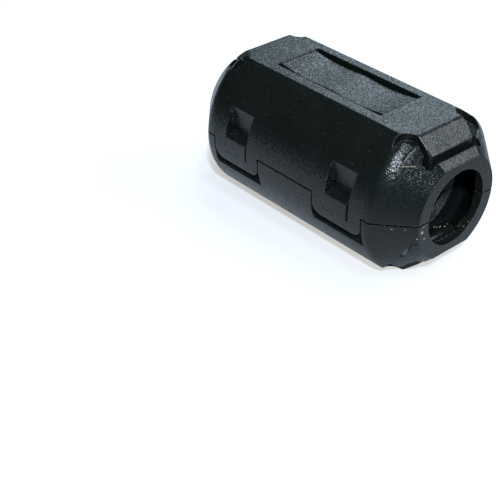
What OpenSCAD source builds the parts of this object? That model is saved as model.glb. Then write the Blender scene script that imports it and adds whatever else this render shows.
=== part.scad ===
// Clip-on ferrite bead: a split ferrite tube in a hinged, snap-together plastic case.
// The cable runs along X through the origin. The lid opens about the hinge on the +Y side,
// and the two latch tabs snap over catches on the -Y side. +Z is up, sizes in millimetres.

/* [Case] */
// Length of the case along the cable
case_l = 36; // [34:0.5:44]
// Outside diameter of the round body
case_d = 20.8; // [20:0.2:24]
// Height between the flat top and the flat bottom
case_h = 18.3; // [17.4:0.1:19]
// Wall thickness of both shells
wall = 1.4; // [1.2:0.1:1.6]
// Thickness of the ring-shaped end walls
end_wall = 1.2; // [0.8:0.1:1.6]
// Gap where the closed shells meet
seam = 0.24; // [0.1:0.02:0.3]

/* [Tapered ends] */
// Length over which each end tapers
taper_l = 4.1; // [3.6:0.1:4.8]
// Diameter of the ring face at each end
end_d = 13.2; // [12.6:0.2:14]
// Height of the ring face between its two flats
end_h = 11.7; // [11:0.1:12.4]
// Length of the flat top before it slopes down to the ends
top_flat_l = 28.6; // [27:0.2:30]
// Rounding radius where the body meets the taper
shoulder_round = 1; // [0.4:0.1:2]
// Rounding radius where the flat top begins to slope down
fold_round = 0.8; // [0.3:0.1:1.5]

/* [Cable hole] */
// Diameter of the hole in the end walls
hole_d = 9.7; // [8:0.1:9.9]

/* [Ferrite core] */
// Length of the core
core_l = 26.4; // [20:0.2:27]
// Diameter of the bore of the core
core_bore_d = 10.1; // [9:0.1:12]
// Play between the core and the shell around it
core_play = 0.12; // [0.05:0.01:0.3]
// Gap between the two mating core faces
core_gap = 0.04; // [0.02:0.01:0.1]
// Chamfer round the outside of the core ends
core_chamfer = 0.9; // [0.3:0.1:1.2]
// Chamfer at the mouths of the bore
bore_chamfer = 0.6; // [0.1:0.1:0.8]
// Thickness of the walls that stop the core from sliding endways
stop_t = 0.8; // [0.5:0.1:1]
// Width of those walls
stop_w = 8.2; // [7:0.2:9]
// How far the inner edges of those walls stay clear of the cable
stop_clear = 0.25; // [0.1:0.05:0.5]

/* [Latch] */
// Distance between the inner edges of the two latch tabs
tab_span = 9.6; // [8.8:0.2:10.4]
// Width of each latch tab
tab_w = 7.7; // [7.4:0.1:8.1]
// How far the tabs reach down past the parting line
tab_drop = 2.8; // [2.4:0.1:3.2]
// Thickness of the tabs
tab_t = 0.75; // [0.6:0.05:0.8]
// Corner radius of the tabs
tab_round = 1.3; // [0.5:0.1:1.4]
// Clearance behind the tabs
tab_gap = 0.1; // [0.08:0.01:0.15]
// Clearance beside and below the tabs
tab_side = 0.22; // [0.1:0.02:0.3]
// Width of the window in each tab
window_w = 3.9; // [3.4:0.1:4.4]
// Height of the window's upper edge above the parting line
window_top = 4.7; // [4.2:0.1:5.4]
// Height up to which the window goes through the wall
window_sill = 1.95; // [1.8:0.05:2.4]
// Depth of the window's lower edge below the parting line
window_foot = 1.4; // [1.2:0.1:1.6]
// Angle by which the flat above the opening leans inwards
window_draft = 5; // [2:1:8]
// Clearance between a catch and the sides of its window
catch_gap = 0.2; // [0.1:0.05:0.4]
// Share of that clearance by which the catches sit off the middle of their windows
catch_off = 0.6; // [0:0.1:0.8]
// Clearance under a catch, where the closed tab pulls on it
catch_play = 0.03; // [0.02:0.01:0.1]
// Height of the catch above the parting line at its front
catch_front = 0.9; // [0.6:0.1:1.1]
// Height of the catch above the parting line at its back
catch_back = 1.3; // [1.1:0.1:1.6]
// Slope of the lead-in under the tabs, from the horizontal
lead_in_a = 60; // [45:1:70]
// Rounding of the catch's upper front edge
catch_round = 0.3; // [0.1:0.05:0.4]

/* [Hinge] */
// Thickness of the flexible straps
strap_t = 0.35; // [0.25:0.05:0.45]
// Radius of the folded straps, to the middle of their thickness
strap_bend = 0.55; // [0.45:0.05:0.7]
// Length of the middle strap
mid_strap_l = 7.5; // [6:0.5:8]
// Length of the outer straps
side_strap_l = 5.2; // [4:0.2:5.4]
// Gap between neighbouring straps
strap_gap = 1.9; // [1:0.1:2.4]

/* [Leaf springs and end flaps] */
// Length of the leaf spring in each flat
spring_l = 17.2; // [15:0.2:18.4]
// Width of the leaf spring
spring_w = 5.9; // [5:0.1:6.3]
// How far the middle of the leaf spring lies left of the middle of the case
spring_left = 0.4; // [0:0.1:0.6]
// How far the middle of the leaf spring lies towards the hinge
spring_aside = 0.2; // [0:0.05:0.3]
// Thickness of the leaf spring
spring_t = 0.85; // [0.6:0.05:0.95]
// How far the two dips of the leaf spring bow inwards
spring_bow = 0.4; // [0.25:0.05:0.45]
// Height of the crest in the middle of the leaf spring above its dips
spring_crest = 0.2; // [0.1:0.05:0.25]
// Rounding radius of that crest
crest_round = 10; // [4:1:14]
// Step from the flat down to the leaf spring
spring_step = 0.1; // [0.05:0.01:0.15]
// Width of the slot beside the leaf spring on the hinge side
slot_w = 0.6; // [0.4:0.05:0.7]
// Width of the slot beside the leaf spring on the latch side
latch_slot_w = 0.75; // [0.4:0.05:0.9]
// Width of the flap at each end of a flat
flap_w = 7.6; // [6.6:0.1:8]
// Distance from the middle of the case to the flap's free edge
flap_x = 16.35; // [15.9:0.05:16.5]
// Corner radius of the flap's free edge
flap_round = 0.5; // [0.2:0.1:0.8]
// Radius of the bar across the inside of the flap
grip_r = 0.65; // [0.4:0.05:0.7]
// Width of the slit across the end of the flap
flap_slit = 0.73; // [0.5:0.01:0.8]
// Width of the slits along the sides of the flap
side_slit = 0.4; // [0.3:0.05:0.6]
// How far the slit across the end reaches past the flap on both sides
slit_reach = 1.05; // [0.8:0.05:1.2]
// Radius of the rounded ends of that slit
slit_round = 0.75; // [0.4:0.05:0.8]
// Radius of the pocket beside the root of the flap
pocket_r = 1.6; // [1.2:0.1:1.8]
// Depth of the pocket in the round body
pocket_depth = 0.95; // [0.6:0.05:1]
// Depth of the pocket in the taper
pocket_end_depth = 0.3; // [0.1:0.05:0.5]
// Height of the pocket's lower edge above the parting line
pocket_z = 6.62; // [6.3:0.02:7]
// How far the middle of the pocket lies past the start of the taper
pocket_shift = 0.17; // [0:0.01:0.3]

/* [Hidden] */
$fn = 96;
edge_fn = 48;
bar_fn = 24;
bow_fn = 360;

case_colour = [0.16, 0.17, 0.18];
core_colour = [0.27, 0.27, 0.29];

half_l = case_l / 2;
half_h = case_h / 2;
body_r = case_d / 2;
over = 1;
bite = 0.2;

// The taper is a cone and the sloping ends of the flats are planes.
shoulder_x = half_l - taper_l;
taper_a = atan((body_r - end_d / 2) / taper_l);
slope_x = top_flat_l / 2;
slope_a = atan((half_h - end_h / 2) / (half_l - slope_x));
inner_end = half_l - end_wall;

core_r = body_r - wall - core_play;
core_top = half_h - wall - core_play;
core_face = core_gap / 2;
stop_x = core_l / 2 + core_play;
stop_z = hole_d / 2 + stop_clear;

tab_in = tab_span / 2;
tab_out = tab_in + tab_w;
tab_mid = tab_in + tab_w / 2;
tab_inner_r = body_r - tab_t;
recess_r = tab_inner_r - tab_gap;
lead_in_l = 3;

strap_out = 0.05;
strap_y = body_r + strap_out;
strap_outer = strap_bend + strap_t / 2;
strap_inner = strap_bend - strap_t / 2;
land_lap = 0.1;
land_lip = 0.35;
land_h = strap_outer + land_lip;
land_depth = 1;
strap_pitch = mid_strap_l / 2 + strap_gap + side_strap_l / 2;

// The leaf spring is two arcs that meet in a crest at the middle.
spring_top = half_h - spring_step;
dip_x = spring_l / 2 / (1 + sqrt(spring_bow / spring_crest));
spring_r = (dip_x * dip_x + spring_crest * spring_crest) / (2 * spring_crest);
bow_z = spring_top - spring_bow + spring_r;
bow_drop = sqrt((spring_r + crest_round) * (spring_r + crest_round) - dip_x * dip_x);
crest_share = spring_r / (spring_r + crest_round);

// The slits beside a flap start behind the wall that stops the core.
root_x = max(slope_x, stop_x + stop_t);
flap_y = flap_w / 2;
pocket_x = shoulder_x + pocket_shift;
pocket_y = flap_y + pocket_r;
grip_x = (slope_x + flap_x) / 2;
grip_z = slope_z(grip_x, wall) - grip_r;

// Radius of the taper at x, for a surface that lies t inside the outer one
function taper_r(x, t) = body_r - (x - shoulder_x) * tan(taper_a) - t / cos(taper_a);

// Height of the sloping flat at x, for a surface that lies t inside the outer one
function slope_z(x, t) = half_h - (x - slope_x) * tan(slope_a) - t / cos(slope_a);

// Distance of a round surface of radius r from the middle plane, at height z
function round_y(r, z) = sqrt(r * r - z * z);

// A cylinder along the cable
module rod(r, l) {
    rotate([0, 90, 0]) cylinder(r = r, h = l, center = true);
}

// A shape drawn in the XZ plane, given depth along Y from y0 to y1
module from_side(y0, y1) {
    translate([0, y1, 0]) rotate([90, 0, 0]) linear_extrude(y1 - y0) children();
}

// A shape drawn in the YZ plane, given length along X from x0 to x1
module from_end(x0, x1) {
    translate([x0, 0, 0]) rotate([90, 0, 90]) linear_extrude(x1 - x0) children();
}

// Copies to the left and right ends of the case
module both_ends() {
    for (s = [0, 1]) mirror([s, 0, 0]) children();
}

// Copies to the latch side and the hinge side
module both_sides() {
    for (s = [0, 1]) mirror([0, s, 0]) children();
}

// What is cut away to round a corner at the origin, where an edge along X turns down by angle a
module corner_cut(r, a) {
    run = r * tan(a / 2);
    foot = run * [cos(a), -sin(a)];
    difference() {
        polygon([[-run, 0], [-run, over], foot + over * [sin(a), cos(a)], foot]);
        translate([-run, -r]) circle(r = r, $fn = edge_fn);
    }
}

// Half section of the turned body, lying t inside the outer surface
module turned_outline(t, x_end) {
    r = body_r - t;
    x_s = shoulder_x - t * tan(taper_a / 2);
    e = taper_r(x_end, t);
    difference() {
        polygon([[0, -x_end], [e, -x_end], [r, -x_s], [r, x_s], [e, x_end], [0, x_end]]);
        for (s = [0, 1])
            mirror([0, s]) translate([r, x_s]) mirror([1, -1]) corner_cut(shoulder_round, taper_a);
    }
}

// Side view of the case with its flats and sloping ends, lying t inside the outer surface
module side_outline(t, x_end) {
    h = half_h - t;
    x_s = slope_x - t * tan(slope_a / 2);
    e = slope_z(x_end, t);
    polygon([[-x_end, -e], [-x_s, -h], [x_s, -h], [x_end, -e],
             [x_end, e], [x_s, h], [-x_s, h], [-x_end, e]]);
}

// The whole case as a solid, lying t inside the outer surface
module case_form(t, x_end) {
    intersection() {
        rotate([0, 90, 0]) rotate_extrude() turned_outline(t, x_end);
        from_side(-body_r - over, body_r + over) side_outline(t, x_end);
    }
}

// What is cut away to round the edges where the flat top slopes down
module fold_cuts() {
    both_ends() from_side(-body_r, body_r) translate([slope_x, half_h]) corner_cut(fold_round, slope_a);
}

// Everything above the parting line
module upper_zone() {
    translate([-half_l - over, -case_d, seam / 2]) cube([case_l + 2 * over, 2 * case_d, case_d]);
}

// What is cut away to round the crest of the leaf spring
module crest_cut() {
    x = dip_x * (1 - crest_share);
    z = bow_z - bow_drop * crest_share;
    from_side(-spring_w / 2 - over, spring_w / 2 + over) difference() {
        translate([-x, z]) square([2 * x, half_h - z]);
        translate([0, bow_z - bow_drop]) circle(r = crest_round, $fn = bow_fn);
    }
}

// Leaf spring cut free along both sides: a strip that dips twice towards the core
module leaf_spring() {
    difference() {
        both_ends() intersection() {
            translate([dip_x, 0, bow_z]) rotate([90, 0, 0]) difference() {
                cylinder(r = spring_r + spring_t, h = spring_w, center = true, $fn = bow_fn);
                cylinder(r = spring_r, h = spring_w + over, center = true, $fn = bow_fn);
            }
            translate([0, -spring_w / 2, 0]) cube([spring_l / 2 + bite, spring_w, half_h]);
        }
        crest_cut();
    }
}

// The opening in the flat in which the leaf spring lies
module spring_opening() {
    w = latch_slot_w + spring_w + slot_w;
    translate([-spring_l / 2, -spring_w / 2 - latch_slot_w, half_h - wall - over])
        cube([spring_l, w, wall + 2 * over]);
}

// Moves the leaf spring or its opening to its place in the flat
module at_spring() {
    translate([-spring_left, spring_aside, 0]) children();
}

// Plan of the flap at the end of a flat, with its free corners rounded
module flap_plan() {
    r = flap_round;
    x0 = slope_x - over;
    translate([x0, -flap_y]) square([flap_x - r - x0, flap_w]);
    translate([x0, -flap_y + r]) square([flap_x - x0, flap_w - 2 * r]);
    for (s = [-1, 1]) translate([flap_x - r, s * (flap_y - r)]) circle(r = r);
}

// Plan of the slits round the flap: narrow along its sides, wide and rounded across its end
module slit_plan() {
    x1 = flap_x + flap_slit;
    y1 = flap_y + slit_reach - slit_round;
    difference() {
        union() {
            translate([root_x, -flap_y - side_slit]) square([flap_x - root_x, flap_w + 2 * side_slit]);
            translate([x1 - 2 * slit_round, -y1]) square([2 * slit_round, 2 * y1]);
            for (s = [-1, 1]) translate([x1 - slit_round, s * y1]) circle(r = slit_round);
        }
        flap_plan();
    }
}

// Plan of the round pocket beside the root of a flap, open towards the end of the case
module pocket_plan() {
    translate([pocket_x, pocket_y]) circle(r = pocket_r);
    translate([pocket_x, flap_y]) square([flap_x - pocket_x, 2 * pocket_r]);
}

// Pocket beside the root of a flap, with a floor that follows the round body and the taper
module corner_pocket() {
    floor_z = half_h - pocket_depth;
    difference() {
        translate([0, 0, pocket_z]) linear_extrude(body_r) pocket_plan();
        intersection() {
            case_form(pocket_end_depth, half_l);
            rod(body_r - pocket_depth, case_l);
            translate([-half_l, -body_r, 0]) cube([case_l, case_d, floor_z]);
        }
    }
}

// The slits, cut straight down through the wall
module flap_slits() {
    translate([0, 0, half_h - 2 * taper_l]) linear_extrude(2 * taper_l + over) slit_plan();
}

// Walls across the inside of the shell that keep the core from sliding endways
module core_stops() {
    both_ends() translate([stop_x, -stop_w / 2, stop_z]) cube([stop_t, stop_w, body_r]);
}

// Round bars across the inside of the flaps
module grip_bars() {
    both_ends() translate([grip_x, 0, grip_z]) rotate([90, 0, 0])
        cylinder(r = grip_r, h = flap_w - 2 * flap_round, center = true, $fn = bar_fn);
}

// What both shells share above the parting line
module half_shell() {
    difference() {
        union() {
            difference() {
                case_form(0, half_l);
                case_form(wall, inner_end);
                at_spring() spring_opening();
            }
            at_spring() leaf_spring();
            intersection() {
                union() {
                    core_stops();
                    grip_bars();
                }
                case_form(wall / 2, inner_end);
            }
        }
        rod(hole_d / 2, case_l + over);
        fold_cuts();
        both_ends() {
            flap_slits();
            both_sides() corner_pocket();
        }
    }
}

// Front view of a latch tab with rounded lower corners
module tab_outline() {
    r = tab_round;
    translate([tab_in + r, -tab_drop]) square([tab_w - 2 * r, tab_drop + over]);
    translate([tab_in, r - tab_drop]) square([tab_w, tab_drop + over - r]);
    for (x = [tab_in + r, tab_out - r]) translate([x, r - tab_drop]) circle(r = r);
}

// Latch tab that hangs from the upper shell over the latch side
module latch_tab() {
    intersection() {
        difference() {
            case_form(0, half_l);
            rod(tab_inner_r, case_l);
        }
        from_side(-case_d, -over) tab_outline();
    }
}

// Window of a latch tab, with a flat that leans inwards above the opening
module latch_window() {
    y_top = -round_y(body_r, window_top);
    lean = tan(window_draft);
    y_sill = y_top + (window_top - window_sill) * lean;
    y_back = -body_r + wall + over;
    from_end(tab_mid - window_w / 2, tab_mid + window_w / 2)
        polygon([[-body_r - over, window_top + over], [y_top - over * lean, window_top + over],
                 [y_sill, window_sill], [y_back, window_sill],
                 [y_back, -window_foot], [-body_r - over, -window_foot]]);
}

// Side view of a catch, with a top that slopes up and inwards and a rounded front edge
module catch_outline() {
    y_back = -body_r + wall + core_play / 2;
    y_front = -round_y(body_r, catch_front);
    slope = atan((catch_back - catch_front) / (y_back - y_front));
    z0 = catch_play - window_foot;
    difference() {
        polygon([[-body_r, z0], [y_back, z0], [y_back, catch_back],
                 [y_front, catch_front], [-body_r, catch_front]]);
        translate([y_front, catch_front]) rotate(90) corner_cut(catch_round, 90 - slope);
    }
}

// Catch that fills the lower part of a window, flush with the tab
module catch() {
    w = window_w - 2 * catch_gap;
    intersection() {
        from_end(tab_mid - w / 2, tab_mid + w / 2) catch_outline();
        rod(body_r, case_l);
    }
}

// Recess under a latch tab, with a sloping lead-in below the tab's edge
module tab_recess() {
    z0 = -tab_drop - tab_side;
    z1 = z0 - lead_in_l * sin(lead_in_a);
    y0 = -round_y(recess_r, -z0);
    difference() {
        from_end(tab_in - tab_side, tab_out + tab_side)
            polygon([[-body_r - over, over], [y0 + over, over], [y0 + over, z0], [y0, z0],
                     [y0 - lead_in_l * cos(lead_in_a), z1], [-body_r - over, z1]]);
        rod(recess_r, case_l);
    }
}

// Lands on the hinge side that carry one end of each strap; s is 1 above and -1 below
module hinge_lands(s) {
    z0 = strap_inner - land_lap;
    for (p = straps())
        translate([p[0] - p[1] / 2, strap_y - land_depth, s > 0 ? z0 : -land_h])
            cube([p[1], land_depth, land_h - z0]);
}

// Middle and length of each strap
function straps() = [[-strap_pitch, side_strap_l], [0, mid_strap_l], [strap_pitch, side_strap_l]];

module lower_shell() {
    color(case_colour) {
        difference() {
            mirror([0, 0, 1]) half_shell();
            translate([0, 0, -seam]) upper_zone();
            both_ends() tab_recess();
        }
        translate([-catch_off * catch_gap, 0, 0]) both_ends() catch();
        hinge_lands(-1);
    }
}

module upper_shell() {
    color(case_colour) {
        difference() {
            union() {
                intersection() {
                    half_shell();
                    upper_zone();
                }
                both_ends() latch_tab();
            }
            both_ends() latch_window();
        }
        hinge_lands(1);
    }
}

// Living hinge: three thin straps folded round the parting line
module hinge_straps() {
    color(case_colour) for (p = straps())
        from_end(p[0] - p[1] / 2, p[0] + p[1] / 2) translate([strap_y, 0]) intersection() {
            difference() {
                circle(r = strap_outer, $fn = edge_fn);
                circle(r = strap_inner, $fn = edge_fn);
            }
            translate([0, -over]) square(2 * over);
        }
}

// Half section of the ferrite tube with its chamfered ends
module core_outline() {
    h = core_l / 2;
    b = core_bore_d / 2;
    polygon([[b, -h + bore_chamfer], [b + bore_chamfer, -h], [core_r - core_chamfer, -h],
             [core_r, -h + core_chamfer], [core_r, h - core_chamfer], [core_r - core_chamfer, h],
             [b + bore_chamfer, h], [b, h - bore_chamfer]]);
}

// Upper half of the ferrite tube, flat on top where the leaf spring presses
module core_half() {
    intersection() {
        rotate([0, 90, 0]) rotate_extrude() core_outline();
        translate([-core_l / 2, -core_r, core_face]) cube([core_l, 2 * core_r, core_top - core_face]);
    }
}

module upper_core() {
    color(core_colour) core_half();
}

module lower_core() {
    color(core_colour) mirror([0, 0, 1]) core_half();
}

lower_shell();
upper_shell();
hinge_straps();
lower_core();
upper_core();
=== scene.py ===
"""Clip-on ferrite bead: looks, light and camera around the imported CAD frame."""
import math
import bmesh
import bpy
from mathutils import Matrix, Vector
from mathutils.bvhtree import BVHTree


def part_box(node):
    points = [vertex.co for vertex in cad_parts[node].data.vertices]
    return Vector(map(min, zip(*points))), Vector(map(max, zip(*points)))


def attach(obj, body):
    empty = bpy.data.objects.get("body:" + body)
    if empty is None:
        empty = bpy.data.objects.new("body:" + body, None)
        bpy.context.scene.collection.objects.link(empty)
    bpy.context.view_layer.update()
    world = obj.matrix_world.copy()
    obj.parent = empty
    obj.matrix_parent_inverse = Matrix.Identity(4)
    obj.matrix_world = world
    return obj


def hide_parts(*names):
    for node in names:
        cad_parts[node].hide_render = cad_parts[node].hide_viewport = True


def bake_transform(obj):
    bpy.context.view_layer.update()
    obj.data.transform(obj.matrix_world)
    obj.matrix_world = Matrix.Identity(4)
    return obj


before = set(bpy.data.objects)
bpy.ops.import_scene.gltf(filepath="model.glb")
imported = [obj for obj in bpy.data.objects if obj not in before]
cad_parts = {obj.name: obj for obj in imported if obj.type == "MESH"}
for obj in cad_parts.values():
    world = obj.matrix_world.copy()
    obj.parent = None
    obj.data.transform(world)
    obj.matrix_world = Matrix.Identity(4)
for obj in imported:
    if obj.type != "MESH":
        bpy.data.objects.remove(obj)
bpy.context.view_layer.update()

MM = 0.001

# --- places taken from the frame ---
FLOOR_Z = Vector(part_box("lower_shell")[0]).z
FLOOR_HALF = 0.6

# --- the case's round body and the tapers at its ends, in mm ---
BODY_R = 10.4
TAPER_SLOPE = math.tan(math.radians(42.8))
SHOULDER_X = 13.9             # where the taper starts
SHOULDER_W = 1.5              # half the width of the soft curve drawn over that edge
SHOULDER_FADE = 0.4           # the stretch before the curve where it fades in
SHOULDER_LIKE = (0.72, 0.80)  # how far the true normal must agree with the curve's
SHOULDER_SIDE = (0.1, 0.3)    # how far a face must turn sideways, which leaves the flats alone
POCKET_LEAN = 0.6             # how far the curve shifts for each mm that a face lies inside the body
END_FACE = (0.97, 0.99)       # the normal's X where a face counts as an end face

# --- hinge strips, bent round the lid's axis ---
STRAP_Y = 10.45 * MM
STRAP_R = 0.55 * MM           # radius of the fold, at the middle of the strip's thickness
STRAP_T = 0.35 * MM
STRAP_WAIST = 0.06 * MM       # how much thinner the strip is where it folds
STRAP_EDGE = 0.05 * MM        # chamfer down both sides
STRAP_STEPS = 24
STRAPS = ((-8.25 * MM, 5.2 * MM), (0.0, 7.5 * MM), (8.25 * MM, 5.2 * MM))  # middle and length

# --- beads laid on a surface, with sizes in mm ---
BEAD_STEPS = 24
BEAD_SIDES = 8
BEAD_NEAR = 0.05              # the share of the line, either way, that gives a bead's direction
BEAD_TIP = 0.01               # keeps the last ring of a tip from closing to a point
BEAD_SINK = 0.005             # how deep a bead's edges sit in the surface

# --- finishes of the marks: colour, roughness and the share that the mottle darkens to ---
FINISHES = {
    # shade: painted shade, near-black beads put where shade falls in the gate's pit and down the crack
    # and pocket lines
    "shade": ((0.0012, 0.0014, 0.0016), 0.9, 0.7),
    # pale: painted highlight, light beads on the gate's nub, along the pocket's chamfer and round the
    # pocket's rim
    "pale": ((0.105, 0.115, 0.118), 0.4, 0.7),
    # scrap: real flash and dust, coloured bright tan so that it also paints the glints on it
    "scrap": ((0.82, 0.56, 0.38), 0.4, 0.7),
    # lip: painted highlight, a warm light colour for the glinting lips along the pocket's shelf and the
    # flap's edge
    "lip": ((0.46, 0.42, 0.35), 0.4, 0.06),
}

# --- mould marks, drawn as beads in painted shade and painted highlight, in mm: name, CAD node, finish, width, height, share that narrows, and line ---
MARKS = (
    ("gate_nub_painted_highlight", "lower_shell", "pale", 0.56, 0.10, 1.0,
     ((16.36, -6.76, -4.62), (16.94, -6.86, -3.38))),
    ("gate_pit_painted_shade", "lower_shell", "shade", 0.62, 0.05, 1.0,
     ((16.06, -6.72, -5.00), (16.34, -6.76, -4.55))),
    ("gate_line_painted_shade", "lower_shell", "shade", 0.16, 0.02, 0.1,
     ((16.95, -6.61, -3.83), (17.26, -6.65, -2.99), (17.40, -6.63, -2.68),
      (17.66, -6.42, -2.57), (17.97, -6.14, -2.46))),
    ("pocket_line_painted_shade", "upper_shell", "shade", 0.22, 0.04, 0.1,
     ((14.40, -4.4, 8.1), (14.40, -5.4, 7.75), (14.38, -6.4, 6.95))),
    ("pocket_bead_painted_highlight", "upper_shell", "pale", 0.34, 0.06, 0.3,
     ((14.66, -4.5, 8.0), (14.64, -5.4, 7.5), (14.60, -6.3, 6.9))),
    ("pocket_lip_painted_highlight", "upper_shell", "lip", 0.14, 0.03, 0.3,
     ((14.7, -7.03, 6.62), (15.0, -6.65, 6.62), (15.5, -5.98, 6.62), (15.8, -5.55, 6.62))),
    ("pocket_rim_painted_highlight", "upper_shell", "pale", 0.10, 0.02, 0.1,
     ((13.1, -6.7, 7.97), (12.65, -6.15, 8.39), (12.43, -5.4, 8.89), (12.58, -4.75, 9.15),
      (12.92, -4.24, 9.15), (13.45, -3.88, 9.15), (14.0, -3.77, 9.15))),
    ("flap_rim_painted_highlight", "upper_shell", "lip", 0.12, 0.02, 0.4,
     ((14.2, -3.75, 9.1), (14.6, -3.73, 8.9), (15.2, -3.70, 8.4), (15.75, -3.66, 7.9))),
)

# --- scraps of flash and dust on the lower shell, coloured bright tan so that they also paint glints, in mm: start, run and width ---
SCRAP_FLATNESS = 8
SCRAPS = (
    ((18.0, -6.00, -1.18), (0, 0.30, 0.30), 0.44),
    ((17.9, -6.50, -1.75), (0, 0.05, 0.15), 0.19),
    ((18.0, -5.42, -2.12), (0, 0.28, 0.10), 0.20),
    ((16.85, -7.6, -0.42), (0.12, 0.0, 0.04), 0.16),
    ((15.6, -8.7, -0.45), (0.30, 0.20, 0.0), 0.10),
    ((18.0, -6.00, -0.40), (0, 0.50, 0.20), 0.12),
    ((14.1, 1.55, -5.45), (0, 0.25, 0.10), 0.22),
    ((14.1, 2.05, -5.75), (0, 0.20, 0.25), 0.20),
    ((14.1, 2.65, -5.95), (0, 0.35, 0.15), 0.26),
    ((15.1, 2.20, -5.10), (0, 0.30, 0.00), 0.24),
    ((13.2, 5.45, -7.10), (0, 0.12, 0.12), 0.18),
    ((17.5, 2.70, -4.00), (0.1, 0.10, 0.06), 0.14),
    ((17.6, 3.30, -3.60), (0.1, 0.10, 0.06), 0.12),
)

# --- textures: the spans of a pattern's values that are put to use ---
BEVEL_SAMPLES = 4
EDGE_TURN = (0.98, 0.80)      # agreement of the true and the rounded normal, from open face to edge
NOISE_SPAN = (0.3, 0.7)       # holds most of a noise's values
CELL_SPAN = (0.2, 0.8)        # holds most of the cells' values
CELL_MIDDLE = (0.5, 0.5, 0.5)

# --- black plastic of the case, with sizes in mm ---
CASE_TONES = ((0.0078, 0.0112, 0.0098), (0.0104, 0.0142, 0.0128))
CASE_IOR = 1.5
CASE_ROUND = 0.16             # radius of the moulded edges
CASE_GRAIN = 0.11             # size of the facets
CASE_GRAIN_ROUGH = (0.36, 0.20)
CASE_TILT_SIDES = 0.20        # lean of the facets on the sides
CASE_TILT_ENDS = 0.05         # and on the end faces
CASE_WAVE = 0.45              # size, depth and strength of the slow waves under the facets
CASE_WAVE_DEPTH = 0.040
CASE_WAVE_STRENGTH = 0.8
CASE_PATCH = 5.0              # size of the patches, and how much their roughness differs
CASE_PATCH_ROUGH = 0.03
CASE_SPECK = 0.21             # size of the dust specks
CASE_SPECK_SPAN = (0.74, 0.82)
CASE_SPECK_SHARE = 0.5
CASE_SPECK_TONE = (0.075, 0.070, 0.064)
# edges coloured far lighter than worn nylon: partly real worn plastic, partly a painted highlight along
# the moulded edges
CASE_WEAR_HIGHLIGHT_R = 0.13            # reach of the rubbed edges, and size of their gaps
CASE_WEAR_HIGHLIGHT_GAP = 0.30
CASE_WEAR_HIGHLIGHT_SPAN = (0.48, 0.60)
CASE_WEAR_HIGHLIGHT_SHARE = 0.7
CASE_WEAR_HIGHLIGHT_TONE = (0.26, 0.22, 0.195)
CASE_WEAR_POLISH = 0.08

# --- ferrite of the core, with sizes in mm ---
CORE_TONES = ((0.008, 0.009, 0.011), (0.016, 0.017, 0.020))
CORE_IOR = 1.6
CORE_ROUND = 0.12             # radius of the edges
CORE_GRAIN = 0.12             # size and lean of the facets
CORE_TILT = 0.20
CORE_MOTTLE = 0.35
CORE_STREAK = 3.0             # size of the duller and the shinier areas
CORE_ROUGH = (0.34, 0.48)
# rims coloured light bluish: partly real chips, partly a painted highlight on the bore's chamfer and end
# faces
CORE_WEAR_HIGHLIGHT_R = 0.5             # reach of the rubbed rims
CORE_WEAR_HIGHLIGHT_SPAN = (0.40, 0.60)
CORE_WEAR_HIGHLIGHT_SHARE = 0.7
CORE_WEAR_HIGHLIGHT_TONE = (0.24, 0.30, 0.38)

# --- plastic of the marks, with sizes in mm ---
MARK_MOTTLE = 0.12
MARK_MOTTLE_SPAN = (0.35, 0.65)
MARK_POLISH = 0.08
MARK_RELIEF = 0.01

# --- the pale sheet that the case lies on and mirrors, with a painted pool of light round the case that glows onto it, with sizes in mm ---
SHEET_PAINTED_LIGHT_POOL = (-23.0, 8.0, 0.0)
SHEET_NEAR = 25.0             # distances from the pool's middle where it starts and ends to fade
SHEET_FAR = 86.0
# the pool glows for every ray, though the sheet is no lamp, and so lights the case
SHEET_LIGHT_GLOW = 0.14           # glow in the pool, for every ray
SHEET_SEEN = 0.38             # glow in the pool that the camera alone sees
SHEET_GLOW = (1.0, 0.98, 0.95, 1.0)
SHEET_CLOUD = 30.0            # size of the pool's faint mottle
# painted pool of light: pale, bluish tones round the case and a dark tone away from it, which the case
# mirrors
SHEET_PAINTED_LIT_TONES = ((0.70, 0.75, 0.84), (0.72, 0.77, 0.86))
SHEET_PAINTED_DARK_TONE = (0.20, 0.205, 0.21)
SHEET_ROUGH = 0.9

# --- the world: its strength for the camera and for every other ray ---
WORLD_COLOUR = (1.0, 1.0, 1.0, 1.0)
WORLD_SEEN = 1.0
WORLD_LIGHT = 0.02

# --- lamps in metres: name, place, width and height, radiance, and colour ---
LAMPS = (
    ("back_softbox", (-0.24, 0.32, 0.203), (0.26, 0.20), 1.15, (0.66, 0.85, 1.0)),
    ("back_lamp", (-0.235, 0.322, 0.208), (0.08, 0.07), 3.6, (0.76, 0.90, 1.0)),
    ("right_softbox", (0.18, 0.30, 0.25), (0.20, 0.18), 2.5, (0.82, 0.91, 1.0)),
    ("right_lamp", (0.18, 0.30, 0.245), (0.07, 0.06), 5.6, (0.84, 0.93, 1.0)),
    ("top_softbox", (0.02, 0.14, 0.40), (0.22, 0.22), 2.3, (0.95, 0.98, 1.0)),
    ("key_lamp", (0.157, -0.093, 0.356), (0.07, 0.07), 15.0, (0.78, 0.91, 1.0)),
    ("flash", (0.222, -0.214, 0.293), (0.022, 0.022), 780.0, (0.78, 0.91, 1.0)),
)

# --- camera: the photograph's own view, found from its edges ---
CAMERA_AT = Vector((85.1, -96.3, 72.9)) * MM
CAMERA_AIM = Vector((-0.6, -15.0, -9.15)) * MM
CAMERA_ROLL = math.radians(1.9)
CAMERA_LENS = 84.6
CAMERA_CLIP = 0.01
SENSOR_W = 36.0


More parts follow.
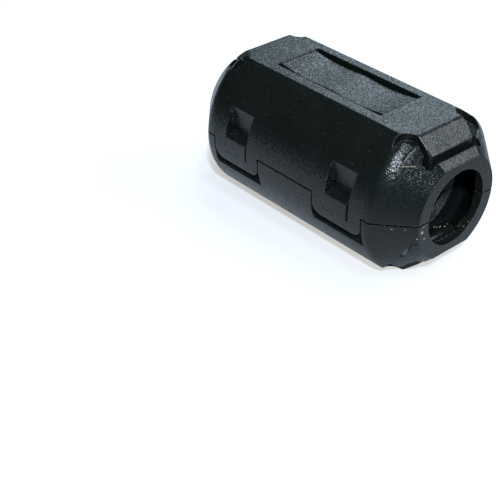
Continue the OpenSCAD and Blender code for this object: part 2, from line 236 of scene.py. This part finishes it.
# ---------------------------------------------------------------- node helpers
class Shader:
    """A material with short calls for adding and joining nodes."""

    def __init__(self, name):
        self.material = bpy.data.materials.new(name)
        self.material.use_nodes = True
        self.tree = self.material.node_tree
        self.bsdf = self.tree.nodes["Principled BSDF"]

    def add(self, kind, **settings):
        """A new node, with its own settings."""
        node = self.tree.nodes.new(kind)
        for key, value in settings.items():
            setattr(node, key, value)
        return node

    def join(self, source, target):
        """A link from one node's output to another node's input."""
        self.tree.links.new(source, target)

    def feed(self, socket, value):
        """Set an input to a number or tuple, or join another node's output to it."""
        if isinstance(value, (int, float, tuple)):
            socket.default_value = value
        else:
            self.join(value, socket)

    # --- sums ---
    def calc(self, operation, a, b=0.0):
        """A sum with numbers."""
        node = self.add("ShaderNodeMath", operation=operation)
        self.feed(node.inputs[0], a)
        self.feed(node.inputs[1], b)
        return node.outputs[0]

    def vector(self, operation, a, b=None, scale=None):
        """A sum with vectors, which gives a number for LENGTH and DOT_PRODUCT."""
        node = self.add("ShaderNodeVectorMath", operation=operation)
        self.feed(node.inputs[0], a)
        if b is not None:
            self.feed(node.inputs[1], b)
        if scale is not None:
            self.feed(node.inputs["Scale"], scale)
        return node.outputs["Value" if operation in ("LENGTH", "DOT_PRODUCT") else "Vector"]

    def part(self, vector, axis):
        """One part of a vector: X, Y or Z."""
        node = self.add("ShaderNodeSeparateXYZ")
        self.join(vector, node.inputs[0])
        return node.outputs[axis]

    def spread(self, value, low, high, to_low=0.0, to_high=1.0, curve="LINEAR"):
        """value from low..high laid out over to_low..to_high, and held at the ends."""
        node = self.add("ShaderNodeMapRange", interpolation_type=curve)
        node.inputs["From Min"].default_value = low
        node.inputs["From Max"].default_value = high
        node.inputs["To Min"].default_value = to_low
        node.inputs["To Max"].default_value = to_high
        self.join(value, node.inputs["Value"])
        return node.outputs["Result"]

    def mix(self, amount, colour_a, colour_b):
        """colour_a where amount is 0, and colour_b where it is 1."""
        node = self.add("ShaderNodeMix", data_type="RGBA")  # has sockets 6, 7 and 2 for colours
        self.join(amount, node.inputs["Factor"])
        for socket, colour in ((node.inputs[6], colour_a), (node.inputs[7], colour_b)):
            self.feed(socket, (*colour, 1.0) if isinstance(colour, tuple) else colour)
        return node.outputs[2]

    def mix_vectors(self, amount, a, b):
        """The vector a where amount is 0, and b where it is 1."""
        node = self.add("ShaderNodeMix", data_type="VECTOR")  # has sockets 4, 5 and 1 for vectors
        self.join(amount, node.inputs["Factor"])
        self.join(a, node.inputs[4])
        self.join(b, node.inputs[5])
        return node.outputs[1]

    # --- patterns ---
    def position(self):
        """Position on the object in millimetres, so that grain sizes read as real sizes."""
        coords = self.add("ShaderNodeTexCoord")
        return self.vector("SCALE", coords.outputs["Object"], scale=1 / MM)

    def noise(self, place, size_mm, detail=2.0, roughness=0.5):
        """Noise whose blobs are about size_mm across."""
        node = self.add("ShaderNodeTexNoise")
        node.inputs["Scale"].default_value = 1 / size_mm
        node.inputs["Detail"].default_value = detail
        node.inputs["Roughness"].default_value = roughness
        self.join(place, node.inputs["Vector"])
        return node.outputs["Fac"]

    def cells(self, place, size_mm):
        """A random colour for each of many little cells, size_mm across."""
        node = self.add("ShaderNodeTexVoronoi")
        node.inputs["Scale"].default_value = 1 / size_mm
        self.join(place, node.inputs["Vector"])
        return node.outputs["Color"]

    # --- normals ---
    def true_normal(self):
        """The surface's own normal."""
        return self.add("ShaderNodeNewGeometry").outputs["Normal"]

    def rounded(self, radius_mm):
        """A normal that rolls over sharp edges, as a moulded edge does."""
        node = self.add("ShaderNodeBevel", samples=BEVEL_SAMPLES)
        node.inputs["Radius"].default_value = radius_mm * MM
        return node.outputs["Normal"]

    def edges(self, radius_mm):
        """1 near a sharp edge and 0 on open faces."""
        turned = self.vector("DOT_PRODUCT", self.rounded(radius_mm), self.true_normal())
        return self.spread(turned, *EDGE_TURN)

    def bump(self, height, depth_mm, strength=1.0, below=None):
        """A normal that follows a height pattern, on top of the normal below."""
        node = self.add("ShaderNodeBump")
        node.inputs["Strength"].default_value = strength
        node.inputs["Distance"].default_value = depth_mm * MM
        self.join(height, node.inputs["Height"])
        if below is not None:
            self.join(below, node.inputs["Normal"])
        return node.outputs["Normal"]

    def facets(self, cells, tilt, below):
        """The normal below, turned a little differently in each cell."""
        turned = self.vector("SCALE", self.vector("SUBTRACT", cells, CELL_MIDDLE), scale=tilt)
        return self.vector("NORMALIZE", self.vector("ADD", below, turned))

    def facet_tilt(self, on_sides, on_ends):
        """How far the facets lean, with less on the end faces, which the mould leaves smooth."""
        endwards = self.calc("ABSOLUTE", self.part(self.true_normal(), "X"))
        return self.spread(endwards, *END_FACE, on_sides, on_ends)

    def shoulder_curve(self, end, along, across):
        """The normal of a round body that rolls softly from its barrel into its tapers."""
        past = self.calc("MAXIMUM", self.calc("SUBTRACT", along, SHOULDER_X), 0)
        outside = self.calc("SUBTRACT", BODY_R, self.calc("MULTIPLY", past, TAPER_SLOPE))
        depth = self.calc("SUBTRACT", outside, self.vector("LENGTH", across))
        shifted = self.calc("ADD", along, self.calc("MULTIPLY", depth, POCKET_LEAN))
        lean = self.spread(shifted, SHOULDER_X - SHOULDER_W, SHOULDER_X + SHOULDER_W,
                           0.0, TAPER_SLOPE, curve="SMOOTHSTEP")
        axial = self.add("ShaderNodeCombineXYZ")
        self.join(self.calc("MULTIPLY", lean, self.calc("SIGN", end)), axial.inputs["X"])
        radial = self.vector("NORMALIZE", across)
        return self.vector("NORMALIZE", self.vector("ADD", radial, axial.outputs[0]))

    def soft_shoulder(self, place, below):
        """The normal below, and the shoulder's soft curve where the surface runs close to it."""
        end = self.part(place, "X")
        along = self.calc("ABSOLUTE", end)
        curve = self.shoulder_curve(end, along, self.vector("MULTIPLY", place, (0.0, 1.0, 1.0)))
        true = self.true_normal()
        alike = self.spread(self.vector("DOT_PRODUCT", curve, true), *SHOULDER_LIKE)
        round_side = self.spread(self.calc("ABSOLUTE", self.part(true, "Y")), *SHOULDER_SIDE)
        start = SHOULDER_X - SHOULDER_W
        near = self.spread(along, start - SHOULDER_FADE, start)
        amount = self.calc("MULTIPLY", self.calc("MULTIPLY", alike, near), round_side)
        return self.vector("NORMALIZE", self.mix_vectors(amount, below, curve))


# ---------------------------------------------------------------- materials
def case_plastic():
    """Black nylon from a spark-eroded mould: a fine grain of small facets that glint, and edges coloured
    lighter, partly as real worn plastic and partly as painted highlight.
    """
    s = Shader("case_plastic")
    place = s.position()
    grain = s.cells(place, CASE_GRAIN)
    patches = s.noise(place, CASE_PATCH, detail=3.0)
    rubbed_and_highlit = s.spread(s.noise(place, CASE_WEAR_HIGHLIGHT_GAP), *CASE_WEAR_HIGHLIGHT_SPAN)
    wear_and_highlight = s.calc("MULTIPLY", s.edges(CASE_WEAR_HIGHLIGHT_R), rubbed_and_highlit)

    tone = s.mix(s.spread(patches, *NOISE_SPAN), *CASE_TONES)
    specks = s.spread(s.noise(place, CASE_SPECK, detail=0.0), *CASE_SPECK_SPAN)
    dusty = s.mix(s.calc("MULTIPLY", specks, CASE_SPECK_SHARE), tone, CASE_SPECK_TONE)
    # lighter edges: real worn plastic mixed with a painted highlight
    colour = s.mix(s.calc("MULTIPLY", wear_and_highlight, CASE_WEAR_HIGHLIGHT_SHARE), dusty, CASE_WEAR_HIGHLIGHT_TONE)
    s.join(colour, s.bsdf.inputs["Base Color"])

    glints = s.spread(grain, *CELL_SPAN, *CASE_GRAIN_ROUGH)
    uneven = s.spread(patches, *NOISE_SPAN, -CASE_PATCH_ROUGH, CASE_PATCH_ROUGH)
    polish = s.calc("MULTIPLY", wear_and_highlight, CASE_WEAR_POLISH)
    s.join(s.calc("SUBTRACT", s.calc("ADD", glints, uneven), polish), s.bsdf.inputs["Roughness"])

    soft = s.soft_shoulder(place, s.rounded(CASE_ROUND))
    waves = s.noise(place, CASE_WAVE, detail=1.0)
    rolling = s.bump(waves, CASE_WAVE_DEPTH, CASE_WAVE_STRENGTH, below=soft)
    tilt = s.facet_tilt(CASE_TILT_SIDES, CASE_TILT_ENDS)
    s.join(s.facets(grain, tilt, rolling), s.bsdf.inputs["Normal"])
    s.bsdf.inputs["IOR"].default_value = CASE_IOR
    return s.material


def ferrite():
    """Sintered ferrite: near black, satin, with a fine mottle, and chipped rims coloured light bluish,
    partly as real chips and partly as painted highlight.
    """
    s = Shader("ferrite")
    place = s.position()
    mottle = s.noise(place, CORE_MOTTLE, detail=4.0, roughness=0.65)
    streaks = s.noise(place, CORE_STREAK)
    wear_and_highlight = s.calc("MULTIPLY", s.edges(CORE_WEAR_HIGHLIGHT_R), s.spread(mottle, *CORE_WEAR_HIGHLIGHT_SPAN))

    tone = s.mix(s.spread(mottle, *NOISE_SPAN), *CORE_TONES)
    # lighter rims: real chips mixed with a painted highlight
    colour = s.mix(s.calc("MULTIPLY", wear_and_highlight, CORE_WEAR_HIGHLIGHT_SHARE), tone, CORE_WEAR_HIGHLIGHT_TONE)
    s.join(colour, s.bsdf.inputs["Base Color"])
    s.join(s.spread(streaks, *NOISE_SPAN, *CORE_ROUGH), s.bsdf.inputs["Roughness"])
    facets = s.facets(s.cells(place, CORE_GRAIN), CORE_TILT, s.rounded(CORE_ROUND))
    s.join(facets, s.bsdf.inputs["Normal"])
    s.bsdf.inputs["IOR"].default_value = CORE_IOR
    return s.material


def mark_plastic(name, tone, roughness, darkest):
    """Plastic of a mould mark or scrap: one tone, mottled down to a share of it, which for the marks is
    painted shade and painted highlight.
    """
    s = Shader(name)
    mottle = s.noise(s.position(), MARK_MOTTLE)
    dark = tuple(darkest * part for part in tone)
    s.join(s.mix(s.spread(mottle, *MARK_MOTTLE_SPAN), dark, tone), s.bsdf.inputs["Base Color"])
    polished = s.spread(mottle, *NOISE_SPAN, roughness, roughness - MARK_POLISH)
    s.join(polished, s.bsdf.inputs["Roughness"])
    s.join(s.bump(mottle, MARK_RELIEF), s.bsdf.inputs["Normal"])
    return s.material


def backdrop_white():
    """A pale sheet with a painted pool of light round the object, darkening away from it and glowing onto
    the object, that the camera sees white.
    """
    s = Shader("backdrop_white")
    place = s.position()
    away = s.vector("LENGTH", s.vector("SUBTRACT", place, SHEET_PAINTED_LIGHT_POOL))
    far = s.spread(away, SHEET_NEAR, SHEET_FAR)
    # painted pool of light, pale near the object and dark away from it
    painted_lit_tone = s.mix(s.spread(s.noise(place, SHEET_CLOUD), *NOISE_SPAN), *SHEET_PAINTED_LIT_TONES)
    s.join(s.mix(far, painted_lit_tone, SHEET_PAINTED_DARK_TONE), s.bsdf.inputs["Base Color"])
    s.bsdf.inputs["Roughness"].default_value = SHEET_ROUGH

    # glow that lights the object, though the sheet is no lamp
    light_glow = s.spread(far, 0.0, 1.0, SHEET_LIGHT_GLOW, 0.0)
    to_camera = s.add("ShaderNodeLightPath").outputs["Is Camera Ray"]
    seen = s.calc("MULTIPLY", to_camera, s.spread(far, 0.0, 1.0, SHEET_SEEN, 1.0))
    s.join(s.calc("ADD", light_glow, seen), s.bsdf.inputs["Emission Strength"])
    s.bsdf.inputs["Emission Color"].default_value = SHEET_GLOW
    return s.material


# ---------------------------------------------------------------- pieces
def add_object(name, data):
    """A new object in the scene."""
    obj = bpy.data.objects.new(name, data)
    bpy.context.scene.collection.objects.link(obj)
    return obj


def add_mesh(name, mesh, material):
    """A new object that shows a mesh in one finish."""
    mesh.materials.append(material)
    return add_object(name, mesh)


def closed_sweep(name, rows):
    """A smooth mesh through rows of points: each row is a ring, and a face closes either end."""
    shape = bmesh.new()
    rings = [[shape.verts.new(point) for point in row] for row in rows]
    count = len(rings[0])
    for low, high in zip(rings, rings[1:]):
        for k in range(count):
            after = (k + 1) % count
            shape.faces.new((low[k], low[after], high[after], high[k]))
    shape.faces.new(rings[0][::-1])
    shape.faces.new(rings[-1])
    bmesh.ops.recalc_face_normals(shape, faces=shape.faces)
    mesh = bpy.data.meshes.new(name)
    shape.to_mesh(mesh)
    shape.free()
    mesh.shade_smooth()
    return mesh


def strap_rows(x_lo, x_hi):
    """Rings of points down a hinge strip: bent round the lid's axis, thinnest where it folds."""
    columns = ((x_lo, STRAP_EDGE), (x_lo + STRAP_EDGE, 0.0), (x_hi - STRAP_EDGE, 0.0), (x_hi, STRAP_EDGE))
    rows = []
    for step in range(STRAP_STEPS + 1):
        turn = math.pi * step / STRAP_STEPS - math.pi / 2
        waist = STRAP_WAIST * math.cos(turn) ** 2
        outer, inner = [], []
        for x, chamfer in columns:
            half = STRAP_T / 2 - chamfer - waist / 2
            for side, reach in ((outer, STRAP_R + half), (inner, STRAP_R - half)):
                side.append((x, STRAP_Y + reach * math.cos(turn), reach * math.sin(turn)))
        rows.append(outer + inner[::-1])
    return rows


def add_straps(material):
    """The three hinge strips, bent round the lid's axis, in place of the CAD node's own strips, which are
    hidden.
    """
    for k, (middle, length) in enumerate(STRAPS):
        mesh = closed_sweep(f"strap_{k}", strap_rows(middle - length / 2, middle + length / 2))
        piece = add_mesh(f"hinge_strap_{k}", mesh, material)
        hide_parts("hinge_straps")
        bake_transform(piece)


def surface_tree(node):
    """A CAD node's faces, ready for the nearest point on them to be asked."""
    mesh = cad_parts[node].data
    return BVHTree.FromPolygons([v.co for v in mesh.vertices], [p.vertices for p in mesh.polygons])


def along_path(points, share):
    """The point at a share, 0 to 1, of the way along a line of points."""
    spans = [(b - a).length for a, b in zip(points, points[1:])]
    left = share * sum(spans)
    for a, b, span in zip(points, points[1:], spans):
        if left <= span:
            return a.lerp(b, left / span)
        left -= span
    return points[-1]


def bead_fullness(share, ends):
    """How full a bead is at a share of its length: 1 in the middle, less towards its round ends."""
    from_end = max(1 - 2 * min(share, 1 - share) / ends, 0.0)
    return math.sqrt(max(1 - from_end ** 2, BEAD_TIP))


def bead_rows(tree, points, width, height, ends):
    """Rings of points down a half-round bead that follows a line on a surface."""
    rows = []
    for step in range(BEAD_STEPS + 1):
        share = step / BEAD_STEPS
        full = bead_fullness(share, ends)
        before = along_path(points, max(share - BEAD_NEAR, 0))
        ahead = along_path(points, min(share + BEAD_NEAR, 1)) - before
        spot, normal, _, _ = tree.find_nearest(along_path(points, share))
        side = normal.cross(ahead).normalized()
        row = []
        for k in range(BEAD_SIDES + 1):
            turn = math.pi * k / BEAD_SIDES
            out = side * math.cos(turn) * width / 2 * full
            up = normal * (math.sin(turn) * height * full - BEAD_SINK)
            row.append(spot + (out + up) * MM)
        rows.append(row)
    return rows


def add_bead(name, node, material, width, height, ends, line):
    """A bead on a CAD node's surface, which moves with that node's body."""
    points = [Vector(p) * MM for p in line]
    mesh = closed_sweep(name, bead_rows(surface_tree(node), points, width, height, ends))
    piece = add_mesh(name, mesh, material)
    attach(piece, "base" if node == "lower_shell" else "lid")


def add_marks():
    """The gate mark and its crack line, the lines and rims of the pocket, and the scraps, as beads whose
    colours paint shade, highlights and glints.
    """
    finishes = {key: mark_plastic(f"mark_{key}", *look) for key, look in FINISHES.items()}
    for name, node, finish, width, height, ends, line in MARKS:
        add_bead(name, node, finishes[finish], width, height, ends, line)
    for k, (spot, run, width) in enumerate(SCRAPS):
        line = (spot, Vector(spot) + Vector(run))
        add_bead(f"scrap_and_glint_{k}", "lower_shell", finishes["scrap"], width, width / SCRAP_FLATNESS, 1.0, line)


def dress(node, material):
    """Give a CAD node a finish of its own."""
    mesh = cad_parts[node].data
    mesh.materials.clear()
    mesh.materials.append(material)


# ---------------------------------------------------------------- stage, light, camera
def look_from(obj, place, aim, roll=0.0):
    """Stand a lamp or camera at a place, turned to a point and rolled about that line."""
    turn = (aim - place).to_track_quat("-Z", "Y").to_matrix().to_4x4()
    obj.matrix_world = Matrix.Translation(place) @ turn @ Matrix.Rotation(roll, 4, "Z")


def add_floor(material):
    """A wide plain sheet under the object."""
    h = FLOOR_HALF
    mesh = bpy.data.meshes.new("floor")
    corners = [(-h, -h, FLOOR_Z), (h, -h, FLOOR_Z), (h, h, FLOOR_Z), (-h, h, FLOOR_Z)]
    mesh.from_pydata(corners, [], [(0, 1, 2, 3)])
    floor = add_mesh("floor", mesh, material)


def add_world():
    """A world that the camera sees white and that hardly lights the object."""
    world = bpy.data.worlds.new("studio")
    bpy.context.scene.world = world
    world.use_nodes = True
    tree = world.node_tree
    background = tree.nodes["Background"]
    path = tree.nodes.new("ShaderNodeLightPath")
    level = tree.nodes.new("ShaderNodeMapRange")
    level.inputs["To Min"].default_value = WORLD_LIGHT
    level.inputs["To Max"].default_value = WORLD_SEEN
    tree.links.new(path.outputs["Is Camera Ray"], level.inputs["Value"])
    tree.links.new(level.outputs["Result"], background.inputs["Strength"])
    background.inputs["Color"].default_value = WORLD_COLOUR


def add_lamp(name, place, size, glow, colour):
    """A softbox aimed at the object, whose face shines with the radiance glow."""
    data = bpy.data.lights.new(name, "AREA")
    data.shape = "RECTANGLE"
    data.size, data.size_y = size
    data.energy = glow * math.pi * size[0] * size[1]
    data.color = colour
    look_from(add_object(name, data), Vector(place), Vector((0, 0, 0)))


def add_camera():
    """The camera, at the photograph's own view."""
    data = bpy.data.cameras.new("camera")
    data.lens = CAMERA_LENS
    data.sensor_width = SENSOR_W
    data.clip_start = CAMERA_CLIP
    camera = add_object("camera", data)
    look_from(camera, CAMERA_AT, CAMERA_AIM, CAMERA_ROLL)
    bpy.context.scene.camera = camera


black = case_plastic()
for shell in ("lower_shell", "upper_shell"):
    dress(shell, black)
dark = ferrite()
for core in ("lower_core", "upper_core"):
    dress(core, dark)

add_straps(black)
add_marks()

add_floor(backdrop_white())
add_world()
for lamp in LAMPS:
    add_lamp(*lamp)
add_camera()

bpy.context.scene.view_settings.view_transform = "Standard"
